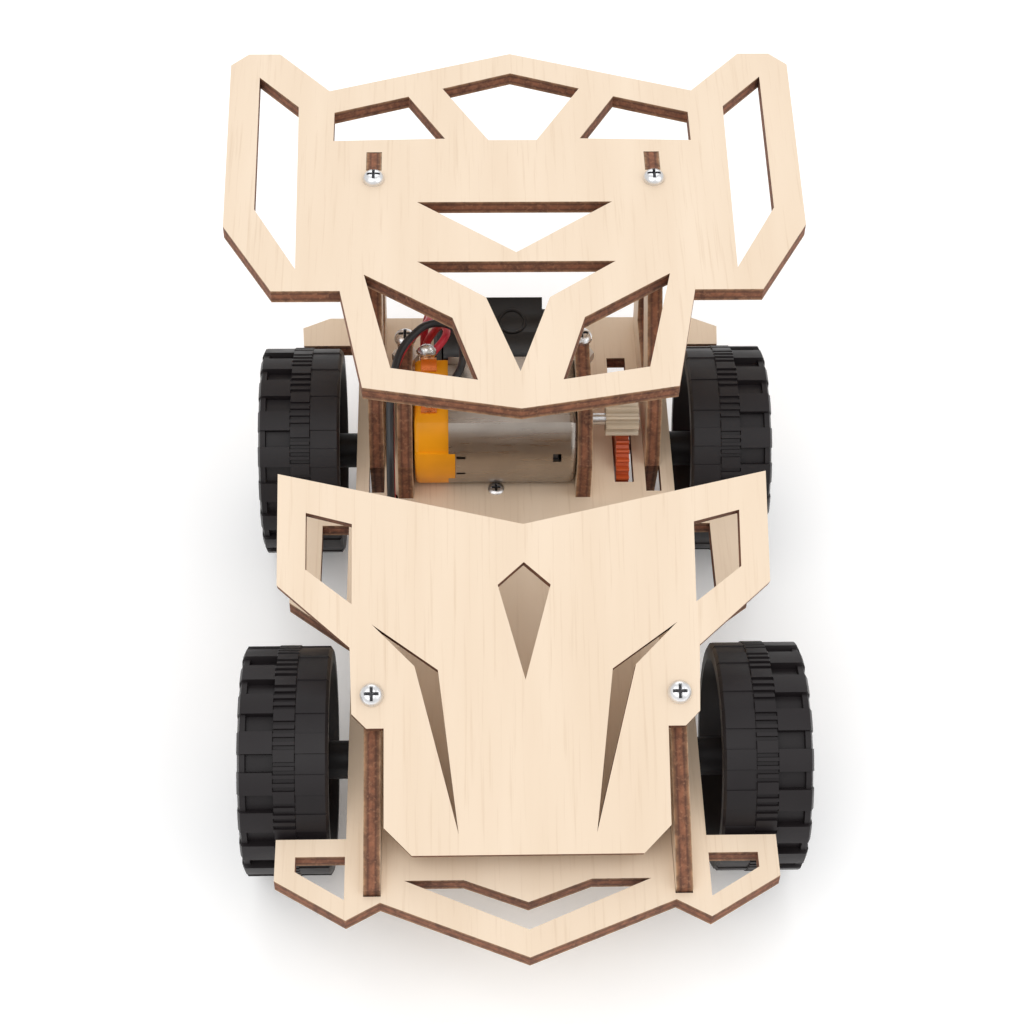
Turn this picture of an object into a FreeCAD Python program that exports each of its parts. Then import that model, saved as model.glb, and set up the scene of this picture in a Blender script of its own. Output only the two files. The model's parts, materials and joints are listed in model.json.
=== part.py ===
# Wooden racing-car chassis: laser-cut plywood plates, four wheels on two steel
# axles, and a small motor that drives the rear axle through a pair of gears.
#
# Frame: X to the car's left-right, +Y towards the spoiler, +Z up.  The origin
# lies on the ground, under the middle of the car's bounding box.  Outlines are
# written with Y measured from the front axle; Placements move them home.
import FreeCAD, Part
import math
import os
import Sketcher
from FreeCAD import Placement, Rotation, Vector

doc = FreeCAD.newDocument("racing_car_chassis")

# ---------------------------------------------------------------- driving sizes
SIZES = [
    # plywood and the chassis frame
    ("ply", 2.5),                    # plate thickness
    ("slot_fit", 0.05),              # air each side of a tab in its slot
    ("front_axle_y", -41.25),        # front axle, from the middle of the car
    ("wheelbase", 64.25),
    ("base_top", 24.0),              # upper face of the base plate
    ("front_plate_x", 23.0),         # middle of each front side plate
    ("rear_plate_x", 23.5),          # middle of each rear side plate
    ("hood_slope", 26.0),            # degrees, nose down
    ("hood_height", 40.0),           # hood's upper face over the front axle
    ("spoiler_top", 60.0),           # upper face of the spoiler
    # wheels and axles
    ("wheel_radius", 18.0),
    ("wheel_inner_x", 29.6),         # inner rim of each wheel
    ("wheel_width", 13.7),
    ("hub_radius", 3.0),
    ("hub_end_x", 27.2),             # inner end of each hub boss
    ("axle_radius", 1.0),
    ("axle_fit", 0.06),              # air round an axle in wood
    ("axle_length", 82.0),
    # motor
    ("motor_z", 32.0),
    ("can_radius", 10.6),
    ("can_half_flat", 7.55),
    ("can_end_x", 9.9),              # shaft end of the steel can
    ("can_length", 21.2),
    ("cap_length", 5.6),
    ("left_motor_plate_x", -18.5),
    ("right_motor_plate_x", 11.35),
    # gears
    ("gear_module", 0.5),
    ("gear_teeth", 50),
    ("pinion_teeth", 10),
    ("gear_x", 18.35),               # middle of the gear, across the car
    ("gear_width", 2.2),
    ("pinion_start_x", 15.3),
    ("pinion_width", 5.5),
    # screws, nuts
    ("screw_radius", 1.0),
    ("screw_clearance", 0.12),
    ("head_radius", 1.8),
    ("head_height", 1.3),
    ("nut_width", 4.0),
    ("nut_height", 1.6),
    ("box_head_radius", 1.35),       # lower heads of the battery box screws
    ("box_head_height", 0.5),
    # rocker switch
    ("switch_x", -3.3),
    ("switch_y", 82.9),              # from the front axle
    ("bezel_width", 21.0),
    ("bezel_depth", 15.0),
    ("bezel_height", 3.0),
    # battery box under the base plate
    ("box_width", 25.0),
    ("box_length", 52.0),
    ("box_height", 13.0),
    ("box_start_y", 5.5),            # from the front axle
    ("cell_radius", 5.1),
    ("cell_length", 43.0),
    # leads
    ("lead_radius", 0.65),
    ("lead_hole_radius", 1.05),
    # round openings of the motor plates: cap boss on the left, can boss on the right
    ("cap_boss_hole", 3.8),
    ("can_boss_hole", 3.1),
]

sheet = doc.addObject("Spreadsheet::Sheet", "sizes")
for row, (alias, value) in enumerate(SIZES, start=1):
    sheet.set(f"A{row}", alias)
    sheet.set(f"B{row}", str(value))
    sheet.setAlias(f"B{row}", alias)
doc.recompute()


def size(alias):
    """A driving size, read back from the spreadsheet."""
    return float(sheet.get(alias))


ply = size("ply")
base_top = size("base_top")
base_bottom = base_top - ply
axle_z = size("wheel_radius")
rear_axle = size("wheelbase")

# The motor sits where its pinion and the axle's gear are one centre distance apart.
centre_distance = size("gear_module") * (size("gear_teeth") + size("pinion_teeth")) / 2 + 0.05
motor_rise = size("motor_z") - axle_z
motor_axis_y = rear_axle - math.sqrt(centre_distance ** 2 - motor_rise ** 2)

nodes = []


def keep(thing, label):
    """Register a finished sub-part under the name its file will have."""
    thing.Label = label
    nodes.append(thing)
    return thing


# ------------------------------------------------------------- drawing helpers
def mirrored(half):
    """A closed outline from its right half, listed from the front to the back."""
    left = [(-x, y) for x, y in reversed(half) if x != 0]
    return half + left


def both_sides(outline):
    return [outline, [(-x, y) for x, y in outline]]


def rectangle(x0, y0, x1, y1):
    return [(x0, y0), (x1, y0), (x1, y1), (x0, y1)]


def origin_plane(body, role):
    for feature in body.Origin.OriginFeatures:
        if feature.Role == role:
            return feature
    raise ValueError(role)


def draw(body, role, outlines, holes=()):
    """A sketch of closed straight outlines and round holes on an origin plane.

    Each hole is (x, y, expression): its radius constraint follows the sheet.
    """
    sketch = body.newObject("Sketcher::SketchObject", body.Name + "_sketch")
    sketch.AttachmentSupport = [(origin_plane(body, role), "")]
    sketch.MapMode = "FlatFace"
    for outline in outlines:
        corners = [Vector(x, y, 0) for x, y in outline]
        for start, end in zip(corners, corners[1:] + corners[:1]):
            sketch.addGeometry(Part.LineSegment(start, end), False)
    for number, (x, y, expression) in enumerate(holes):
        circle = Part.Circle(Vector(x, y, 0), Vector(0, 0, 1), 1.0)
        index = sketch.addGeometry(circle, False)
        constraint = sketch.addConstraint(Sketcher.Constraint("Radius", index, 1.0))
        name = f"hole_{number}"
        sketch.renameConstraint(constraint, name)
        sketch.setExpression(f"Constraints.{name}", expression)
    return sketch


def pad(body, sketch, expression, both_ways=False):
    feature = body.newObject("PartDesign::Pad", body.Name + "_pad")
    feature.Profile = sketch
    feature.Midplane = both_ways
    feature.setExpression("Length", expression)
    sketch.Visibility = False
    return feature


def place(thing, x="0", y="sizes.front_axle_y", z="0", turn=None):
    """Bind a sub-part's position to the sheet."""
    if turn is not None:
        thing.Placement = Placement(Vector(), turn)
    thing.setExpression("Placement.Base.x", x)
    thing.setExpression("Placement.Base.y", y)
    thing.setExpression("Placement.Base.z", z)
    return thing


def flat_plate(label, outlines, holes=(), z="0", turn=None, y="sizes.front_axle_y"):
    """A plywood plate drawn from above, its lower face at z."""
    body = doc.addObject("PartDesign::Body", label)
    pad(body, draw(body, "XY_Plane", outlines, holes), "sizes.ply")
    place(body, y=y, z=z, turn=turn)
    return keep(body, label)


def upright_plate(label, outlines, holes, x):
    """A plywood plate drawn from the side, centred on x."""
    body = doc.addObject("PartDesign::Body", label)
    pad(body, draw(body, "YZ_Plane", outlines, holes), "sizes.ply", both_ways=True)
    place(body, x=x)
    return keep(body, label)


def solid_feature(label, shape):
    """A sub-part whose shape is worked out by Part's own functions."""
    feature = doc.addObject("Part::Feature", label)
    feature.Shape = Part.makeCompound([shape])
    place(feature)
    return keep(feature, label)


# ------------------------------------------------- joints between plywood plates
SCREW_GRIP = 7.0           # how deep a screw's slot runs into a plate's edge
NUT_DEPTH = 3.4            # edge of the plate to the near face of the nut
screw_slot = size("screw_radius") + size("screw_clearance")
nut_half = size("nut_width") / 2 + size("slot_fit")
nut_room = size("nut_height") + 2 * size("slot_fit")


def t_slot(point, along, inward):
    """Corners of the T-shaped cut that holds a screw and its nut in an edge."""
    steps = [
        (-screw_slot, 0), (-screw_slot, NUT_DEPTH), (-nut_half, NUT_DEPTH),
        (-nut_half, NUT_DEPTH + nut_room), (-screw_slot, NUT_DEPTH + nut_room),
        (-screw_slot, SCREW_GRIP), (screw_slot, SCREW_GRIP),
        (screw_slot, NUT_DEPTH + nut_room), (nut_half, NUT_DEPTH + nut_room),
        (nut_half, NUT_DEPTH), (screw_slot, NUT_DEPTH), (screw_slot, 0),
    ]
    return [(point[0] + along[0] * a + inward[0] * d, point[1] + along[1] * a + inward[1] * d)
            for a, d in steps]


slope = math.radians(size("hood_slope"))
hood_along = (math.cos(slope), math.sin(slope))
hood_inward = (math.sin(slope), -math.cos(slope))


def hood_underside(y):
    """Height of the hood's lower face at y."""
    return size("hood_height") - ply / math.cos(slope) + y * math.tan(slope)


# ------------------------------------------------------------------- base plate
plate_half = ply / 2 + size("slot_fit")
FRONT_SLOT = (-27.8, 9.2)
REAR_SLOT = (49.5, 74.2)
MOTOR_TABS = ((49.0, 55.0), (68.5, 74.5))
GEAR_SLOT = (16.95, 51.5, 20.2, 80.4)
LEAD_HOLES = ((-20.9, 44.8), (-20.9, 48.3), (-15.5, 74.6), (-15.5, 78.2))
BATTERY_SCREWS = ((3.3, 9.5), (-3.3, 50.1))
SWITCH_HOLE_DEPTH = 13.6
SWITCH_HOLE_WIDTH = 19.6


def base_plate():
    outline = mirrored([
        (0, -38), (21.8, -28.8), (26.8, -31.7), (37.5, -25), (37.5, -18), (27, -18),
        (27, 18), (37.3, 26.4), (37.3, 45.7), (27, 45.7), (27, 83.8), (37, 83.8),
        (37.3, 88.2), (32.5, 90.6),
    ])
    nose_window = [(-18.3, -25.2), (-9.5, -25.2), (0, -29), (9.5, -25.2), (18.3, -25.2), (0, -33.5)]
    outlines = [outline, nose_window]
    outlines += both_sides([(27.1, -21), (34.5, -21), (34.5, -23.5), (27.1, -28.3)])
    outlines += both_sides([(28, 22), (32.4, 25.6), (32.4, 42.4), (28, 42.4)])
    front_x = size("front_plate_x")
    rear_x = size("rear_plate_x")
    outlines += both_sides(
        rectangle(front_x - plate_half, FRONT_SLOT[0], front_x + plate_half, FRONT_SLOT[1]))
    outlines += both_sides(
        rectangle(rear_x - plate_half, REAR_SLOT[0], rear_x + plate_half, REAR_SLOT[1]))
    for x in (size("left_motor_plate_x"), size("right_motor_plate_x")):
        for start, end in MOTOR_TABS:
            outlines.append(rectangle(x - plate_half, start, x + plate_half, end))
    outlines.append(rectangle(*GEAR_SLOT))
    switch_x, switch_y = size("switch_x"), size("switch_y")
    outlines.append(rectangle(
        switch_x - SWITCH_HOLE_WIDTH / 2, switch_y - SWITCH_HOLE_DEPTH / 2,
        switch_x + SWITCH_HOLE_WIDTH / 2, switch_y + SWITCH_HOLE_DEPTH / 2))
    holes = [(x, y, "sizes.lead_hole_radius") for x, y in LEAD_HOLES]
    holes += [(x, y, "sizes.screw_radius + sizes.screw_clearance") for x, y in BATTERY_SCREWS]
    return flat_plate("base_plate", outlines, holes, z="sizes.base_top - sizes.ply")


# ------------------------------------------------------------------ side plates
HOOD_SCREW = -2.5          # along the hood, from over the front axle
hood_screw_y = HOOD_SCREW * math.cos(slope) + ply * math.sin(slope)
hood_screw_point = (hood_screw_y, hood_underside(hood_screw_y))


def front_side_plate(label, side):
    """Carries the front axle below the base plate and the hood above it."""
    outline = [
        (-27.5, base_bottom), (-6, axle_z - 4.5), (6, axle_z - 4.5), (9, base_bottom), (9, base_top),
        (15, base_top), (15, hood_underside(15)),
    ]
    outline += t_slot(hood_screw_point, (-hood_along[0], -hood_along[1]), hood_inward)
    outline += [(-6.5, hood_underside(-6.5)), (-27.5, base_top + 1.2)]
    hole = (0, axle_z, "sizes.axle_radius + sizes.axle_fit")
    return upright_plate(label, [outline], [hole], f"{side} * sizes.front_plate_x")


SPOILER_SCREW_Y = 87.7
SPOILER_TAB = (90.2, 94.4)


def rear_side_plate(label, side):
    """Carries the rear axle below the base plate and the spoiler above it."""
    under = size("spoiler_top") - ply
    outline = [
        (56, base_bottom), (58, axle_z - 4.5), (70.5, axle_z - 4.5), (74, base_bottom), (74, base_top),
        (89.5, base_top), (97, under - 4), (97, under),
        (SPOILER_TAB[1], under), (SPOILER_TAB[1], under + ply),
        (SPOILER_TAB[0], under + ply), (SPOILER_TAB[0], under),
    ]
    outline += t_slot((SPOILER_SCREW_Y, under), (-1, 0), (0, -1))
    outline += [(80, under), (58.5, 34), (55, base_top), (56, base_top)]
    window = [(66, 31), (83, 31), (87, 46), (80.5, 47)]
    hole = (rear_axle, axle_z, "sizes.axle_radius + sizes.axle_fit")
    return upright_plate(label, [outline, window], [hole], f"{side} * sizes.rear_plate_x")


# ----------------------------------------------------------------- motor plates
MOTOR_PLATE_TOP = 40.5
MOTOR_SCREW_Y = 69.5
MOTOR_PLATE_FRONT = 48.2


def motor_plate(label, x_name, hole_radius):
    """Upright plate at one end of the motor, tabbed into the base plate."""
    fit = size("slot_fit")
    tabs = []
    for start, end in MOTOR_TABS:
        tabs += [(start + fit, base_top), (start + fit, base_bottom),
                 (end - fit, base_bottom), (end - fit, base_top)]
    outline = [(MOTOR_PLATE_FRONT, base_top)] + tabs
    outline += [(78, base_top), (78, 33), (MOTOR_SCREW_Y + 2.1, MOTOR_PLATE_TOP)]
    outline += t_slot((MOTOR_SCREW_Y, MOTOR_PLATE_TOP), (-1, 0), (0, -1))
    outline += [(54, MOTOR_PLATE_TOP), (MOTOR_PLATE_FRONT, 32)]
    hole = (motor_axis_y, size("motor_z"), hole_radius)
    return upright_plate(label, [outline], [hole], f"sizes.{x_name}")


# -------------------------------------------------------------- hood and spoiler
def hood_plate():
    """Sloping hood, drawn in its own plane with Y along the slope."""
    outline = mirrored([
        (0, -26.3), (17.1, -26.3), (21.2, -22.2), (21.2, -7.5), (23.8, -7.5), (26, -5.3),
        (26.3, 4.7), (37.3, 14.3), (37.3, 31.6), (0, 23.5),
    ])
    outlines = [outline[1:]]
    outlines += both_sides([(33, 25.5), (26, 23.7), (26, 11.3), (33, 16.7)])
    outlines += both_sides([(23, 8.2), (13.1, 1.2), (10.2, -23.2), (16.6, 1.8)])
    outlines.append([(0, 17.6), (4, 14.1), (0, -0.4), (-4, 14.1)])
    x = size("front_plate_x")
    radius = "sizes.screw_radius + sizes.screw_clearance"
    holes = [(x, HOOD_SCREW, radius), (-x, HOOD_SCREW, radius)]
    return flat_plate(
        "hood_plate", outlines, holes,
        y="sizes.front_axle_y + sizes.ply * sin(sizes.hood_slope * 1 deg)",
        z="sizes.hood_height - sizes.ply * cos(sizes.hood_slope * 1 deg)",
        turn=Rotation(Vector(1, 0, 0), size("hood_slope")))


def spoiler_plate():
    outline = mirrored([
        (0, 36), (24.5, 40.5), (28.5, 61.5), (39.5, 61.5), (48, 76.5), (49, 117.5),
        (46, 120.5), (40.5, 120.5), (31.5, 110.5), (0, 120.5),
    ])
    outlines = [outline]
    outlines += both_sides([(43.8, 114.2), (36.7, 106.3), (35.8, 66.5), (43.1, 80.6)])
    outlines += both_sides([(30.5, 104.8), (17.8, 109), (11.5, 98), (30.5, 97.5)])
    outlines += both_sides([(24.7, 65.2), (10.5, 55.4), (6.6, 42), (20.2, 44.6)])
    outlines.append([(-11.9, 111.1), (0, 115.2), (11.9, 111.1), (4.1, 97.6), (-4.1, 97.6)])
    outlines.append([(-16.2, 82.2), (16.2, 82.2), (0, 70.2)])
    outlines.append([(-16.1, 68.1), (-5.1, 59.9), (0, 43.8), (5.1, 59.9), (16.1, 68.1)])
    x = size("rear_plate_x")
    outlines += both_sides(rectangle(x - plate_half, 90, x + plate_half, 94.6))
    radius = "sizes.screw_radius + sizes.screw_clearance"
    holes = [(x, SPOILER_SCREW_Y, radius), (-x, SPOILER_SCREW_Y, radius)]
    return flat_plate("spoiler_plate", outlines, holes, z="sizes.spoiler_top - sizes.ply")


# ------------------------------------------------------------- screws and nuts
def pan_screw(length, radius, height):
    """A small pan-head screw with a cross recess, pointing down from the origin."""
    shank = size("screw_radius")
    dome = Part.Arc(Vector(radius, 0, 0.35 * height), Vector(0.78 * radius, 0, 0.86 * height),
                    Vector(0, 0, height))
    profile = Part.Wire([
        dome.toShape(),
        Part.LineSegment(Vector(0, 0, height), Vector(0, 0, -length)).toShape(),
        Part.LineSegment(Vector(0, 0, -length), Vector(0.6 * shank, 0, -length)).toShape(),
        Part.LineSegment(Vector(0.6 * shank, 0, -length), Vector(shank, 0, -length + 0.6)).toShape(),
        Part.LineSegment(Vector(shank, 0, -length + 0.6), Vector(shank, 0, 0)).toShape(),
        Part.LineSegment(Vector(shank, 0, 0), Vector(radius, 0, 0)).toShape(),
        Part.LineSegment(Vector(radius, 0, 0), Vector(radius, 0, 0.35 * height)).toShape(),
    ])
    screw = Part.Face(profile).revolve(Vector(), Vector(0, 0, 1), 360)
    arm, width, depth = 0.62 * radius, 0.5, 0.62 * height
    for turn in (0, 90):
        slot = Part.makeBox(2 * arm, width, depth + 1, Vector(-arm, -width / 2, height - depth))
        slot.rotate(Vector(), Vector(0, 0, 1), turn)
        screw = screw.cut(slot)
    return screw


def hex_nut():
    """A small hexagon nut standing on the origin."""
    across = size("nut_width")
    corners = [Vector(across / math.sqrt(3) * math.cos(math.radians(60 * k)),
                      across / math.sqrt(3) * math.sin(math.radians(60 * k)), 0)
               for k in range(7)]
    prism = Part.Face(Part.makePolygon(corners)).extrude(Vector(0, 0, size("nut_height")))
    bore = Part.makeCylinder(size("screw_radius"), size("nut_height"))
    return prism.cut(bore)


def placed(shape, point, turn=None):
    copy = shape.copy()
    copy.Placement = Placement(point, turn or Rotation())
    return copy


def fasten(screw_label, nut_label, spots, clamped, turn=None):
    """Screws at the spots, through a clamped thickness, each into a nut in a T-slot."""
    turn = turn or Rotation()
    down = turn.multVec(Vector(0, 0, -1))
    screw = pan_screw(clamped + SCREW_GRIP - 0.4, size("head_radius"), size("head_height"))
    solid_feature(screw_label, Part.makeCompound([placed(screw, spot, turn) for spot in spots]))
    nut_drop = clamped + NUT_DEPTH + size("slot_fit") + size("nut_height")
    nuts = [placed(hex_nut(), spot + down * nut_drop, turn) for spot in spots]
    solid_feature(nut_label, Part.makeCompound(nuts))


# ------------------------------------------------------------- wheels and axles
def wheel(label, side, rear):
    """One-piece plastic wheel: hollow rim, web and a hub boss on the inside."""
    body = doc.addObject("PartDesign::Body", label)
    radius = size("wheel_radius")
    inner, width = size("wheel_inner_x"), size("wheel_width")
    outer = inner + width
    hub, bore = size("hub_radius"), size("axle_radius")
    section = [
        (inner, radius - 2.6), (inner, radius - 0.8), (inner + 0.8, radius), (outer - 0.8, radius),
        (outer, radius - 0.8), (outer, radius - 2.8), (outer - 2.2, radius - 4.6),
        (outer - 2.2, hub + 1.6), (outer - 0.6, hub + 0.6), (outer - 0.6, bore + 0.6),
        (outer - 1.6, bore), (size("hub_end_x"), bore), (size("hub_end_x"), hub),
        (outer - 4.4, hub), (outer - 4.4, radius - 4.6), (inner + 1, radius - 3.4),
    ]
    sketch = draw(body, "XY_Plane", [section])
    turned = body.newObject("PartDesign::Revolution", label + "_turned")
    turned.Profile = sketch
    turned.ReferenceAxis = (sketch, ["H_Axis"])
    turned.Angle = 360
    y = "sizes.front_axle_y + sizes.wheelbase" if rear else "sizes.front_axle_y"
    turn = Rotation(Vector(0, 0, 1), 0 if side > 0 else 180)
    place(body, y=y, z="sizes.wheel_radius", turn=turn)
    return keep(body, label)


def axle(label, rear):
    rod = doc.addObject("Part::Cylinder", label)
    rod.setExpression("Radius", "sizes.axle_radius")
    rod.setExpression("Height", "sizes.axle_length")
    y = "sizes.front_axle_y + sizes.wheelbase" if rear else "sizes.front_axle_y"
    place(rod, x="-sizes.axle_length / 2", y=y, z="sizes.wheel_radius",
          turn=Rotation(Vector(0, 1, 0), 90))
    return keep(rod, label)


# ------------------------------------------------------------------------ gears
def toothed_wheel(teeth, width, bore, turn):
    """A spur gear along +X: straight-flanked teeth, slimmed for running clearance."""
    module = size("gear_module")
    pitch_radius = module * teeth / 2
    tip, root = pitch_radius + 0.85 * module, pitch_radius - 1.15 * module
    step = 2 * math.pi / teeth
    root_half, pitch_half, tip_half = 0.31 * step, 0.21 * step, 0.09 * step
    corners = []
    for tooth in range(teeth):
        middle = tooth * step + turn
        for radius, angle in ((root, -root_half), (pitch_radius, -pitch_half), (tip, -tip_half),
                              (tip, tip_half), (pitch_radius, pitch_half), (root, root_half)):
            corners.append(Vector(0, radius * math.cos(middle + angle),
                                  radius * math.sin(middle + angle)))
    corners.append(corners[0])
    blank = Part.Face(Part.makePolygon(corners)).extrude(Vector(width, 0, 0))
    return blank.cut(Part.makeCylinder(bore, width, Vector(), Vector(1, 0, 0)))


def gears():
    """The axle's large gear with its hub, and the motor's long pinion."""
    bore = size("axle_radius")
    lean = math.atan2(motor_rise, motor_axis_y - rear_axle)
    large = toothed_wheel(int(size("gear_teeth")), size("gear_width"), bore, lean)
    hub_length = 1.4
    hub = Part.makeCylinder(3.0, hub_length, Vector(-hub_length, 0, 0), Vector(1, 0, 0))
    hub = hub.cut(Part.makeCylinder(bore, hub_length, Vector(-hub_length, 0, 0), Vector(1, 0, 0)))
    large = large.fuse(hub).removeSplitter()
    large.translate(Vector(size("gear_x") - size("gear_width") / 2, rear_axle, axle_z))
    solid_feature("axle_gear", large)
    teeth = int(size("pinion_teeth"))
    facing = lean + math.pi + math.pi / teeth
    small = toothed_wheel(teeth, size("pinion_width"), bore, facing)
    small.translate(Vector(size("pinion_start_x"), motor_axis_y, size("motor_z")))
    solid_feature("motor_pinion", small)


# ------------------------------------------------------------------------ motor
CAN_WALL = 0.6
BOSS_RADIUS = 3.0
BOSS_LENGTH = 1.4
TERMINALS = ((-4.2, 1.3), (5.2, 2.4))     # across the motor's flat, and height
# Small windows in the can's round sides: from its open end, height, length, width.
CAN_CUTS = ((1.3, 1.9, 1.5, 0.5), (1.3, -1.9, 1.5, 0.5), (17.3, 1.2, 1.4, 1.6))
CAP_STEP = 2.9             # the cap's lower shell is stouter up to here
TONGUE_LENGTH = 1.1        # the lower shell reaches this far over the can's wall
TONGUE_BOTTOM = -3.4


def motor_outline(radius, half_flat):
    """Round body with two flats, above and below."""
    edge = math.sqrt(radius ** 2 - half_flat ** 2)
    return Part.Wire([
        Part.Arc(Vector(0, edge, -half_flat), Vector(0, radius, 0), Vector(0, edge, half_flat)).toShape(),
        Part.LineSegment(Vector(0, edge, half_flat), Vector(0, -edge, half_flat)).toShape(),
        Part.Arc(Vector(0, -edge, half_flat), Vector(0, -radius, 0), Vector(0, -edge, -half_flat)).toShape(),
        Part.LineSegment(Vector(0, -edge, -half_flat), Vector(0, edge, -half_flat)).toShape(),
    ])


def motor_prism(radius, half_flat, start, length):
    prism = Part.Face(motor_outline(radius, half_flat)).extrude(Vector(length, 0, 0))
    prism.translate(Vector(start, 0, 0))
    return prism


def cross_cylinder(radius, start, length):
    return Part.makeCylinder(radius, length, Vector(start, 0, 0), Vector(1, 0, 0))


def tongue_band(start, fit):
    """The space of the cap's two side tongues in the can's open end."""
    reach = 2 * size("can_radius")
    return Part.makeBox(TONGUE_LENGTH + fit, 2 * reach, CAP_STEP - TONGUE_BOTTOM + 2 * fit,
                        Vector(start, -reach, TONGUE_BOTTOM - fit))


def motor():
    """Steel can, plastic end cap, magnets, rotor on its shaft, and two terminals."""
    home = Vector(0, motor_axis_y, size("motor_z"))
    radius, flat = size("can_radius"), size("can_half_flat")
    end, length = size("can_end_x"), size("can_length")
    start = end - length
    can = motor_prism(radius, flat, start, length)
    shoulder = [edge for edge in can.Edges
                if all(abs(vertex.X - end) < 0.01 for vertex in edge.Vertexes)]
    can = can.makeFillet(1.2, shoulder)
    can = can.fuse(cross_cylinder(BOSS_RADIUS, end, BOSS_LENGTH))
    can = can.cut(motor_prism(radius - CAN_WALL, flat - CAN_WALL, start, length - CAN_WALL))
    shaft_radius = size("axle_radius")
    can = can.cut(cross_cylinder(shaft_radius + size("axle_fit"), end - 2, BOSS_LENGTH + 2.5))
    for x, z, long, high in CAN_CUTS:
        can = can.cut(Part.makeBox(long, 2 * radius + 2, high, Vector(start + x, -radius - 1, z)))
    fit = size("slot_fit")
    can = can.cut(tongue_band(start, fit))
    can.translate(home)
    solid_feature("motor_can", can)

    cap_start = start - size("cap_length")
    cap_length = size("cap_length")
    cap = motor_prism(radius - 0.5, flat - 0.3, cap_start, cap_length)
    shell = motor_prism(radius, flat - 0.3, cap_start, cap_length)
    below = Part.makeBox(cap_length, 3 * radius, radius + CAP_STEP,
                         Vector(cap_start, -1.5 * radius, -radius))
    tongues = motor_prism(radius, flat, start, TONGUE_LENGTH)
    tongues = tongues.cut(motor_prism(radius - CAN_WALL, flat - CAN_WALL, start, TONGUE_LENGTH))
    cap = cap.fuse([shell.common(below), tongues.common(tongue_band(start, 0))]).removeSplitter()
    outer_rim = [edge for edge in cap.Edges
                 if all(abs(vertex.X - cap_start) < 0.01 for vertex in edge.Vertexes)]
    cap = cap.makeFillet(0.9, outer_rim)
    cap = cap.fuse(cross_cylinder(BOSS_RADIUS + 0.6, cap_start - 1.1, 1.1))
    cap = cap.cut(cross_cylinder(shaft_radius + size("axle_fit"), cap_start + 0.4, 12))
    cap.translate(home)
    solid_feature("motor_end_cap", cap)

    inner_radius = radius - CAN_WALL - 0.15
    magnets = []
    for side in (-1, 1):
        magnet = cross_cylinder(inner_radius, start + 3, length - 6)
        magnet = magnet.cut(cross_cylinder(6.6, start + 2, length - 4))
        keep_box = Part.makeBox(length, 4.5, 9, Vector(start, 5.2 if side > 0 else -9.7, -4.5))
        magnets.append(magnet.common(keep_box))
    magnets = Part.makeCompound(magnets)
    magnets.translate(home)
    solid_feature("motor_magnets", magnets)

    rotor = cross_cylinder(5.9, start + 4.5, length - 8.5)
    for slot in range(3):
        gap = Part.makeBox(length, 1.4, 4, Vector(start + 4, -0.7, 3.2))
        gap.rotate(Vector(), Vector(1, 0, 0), 120 * slot)
        rotor = rotor.cut(gap)
    rotor = rotor.fuse(cross_cylinder(2.4, start + 0.4, 4.1))
    rotor = rotor.cut(cross_cylinder(shaft_radius, start, length))
    rotor.translate(home)
    solid_feature("motor_rotor", rotor)

    shaft_end = size("pinion_start_x") + size("pinion_width")
    shaft = cross_cylinder(shaft_radius, cap_start + 0.6, shaft_end - cap_start - 0.4)
    shaft.translate(home)
    solid_feature("motor_shaft", shaft)

    tabs = []
    for y, height in TERMINALS:
        tab = Part.makeBox(2.6, 0.4, height, Vector(cap_start + 1.1, y - 0.2, flat - 0.3))
        foot = Part.makeBox(2.6, 1.6, 0.3, Vector(cap_start + 1.1, y - 0.8, flat - 0.3))
        tabs.append(tab.fuse(foot))
    tabs = Part.makeCompound(tabs)
    tabs.translate(home)
    solid_feature("motor_terminals", tabs)


# ---------------------------------------------------------------- rocker switch
ROCKER_TILT = 12.0
ROCKER_PIVOT_RISE = 1.6    # pivot above the base plate's upper face
PIN_RADIUS = 0.8           # the rocker turns on two stub pins in the bezel's end walls
PIN_LENGTH = 1.1


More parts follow.
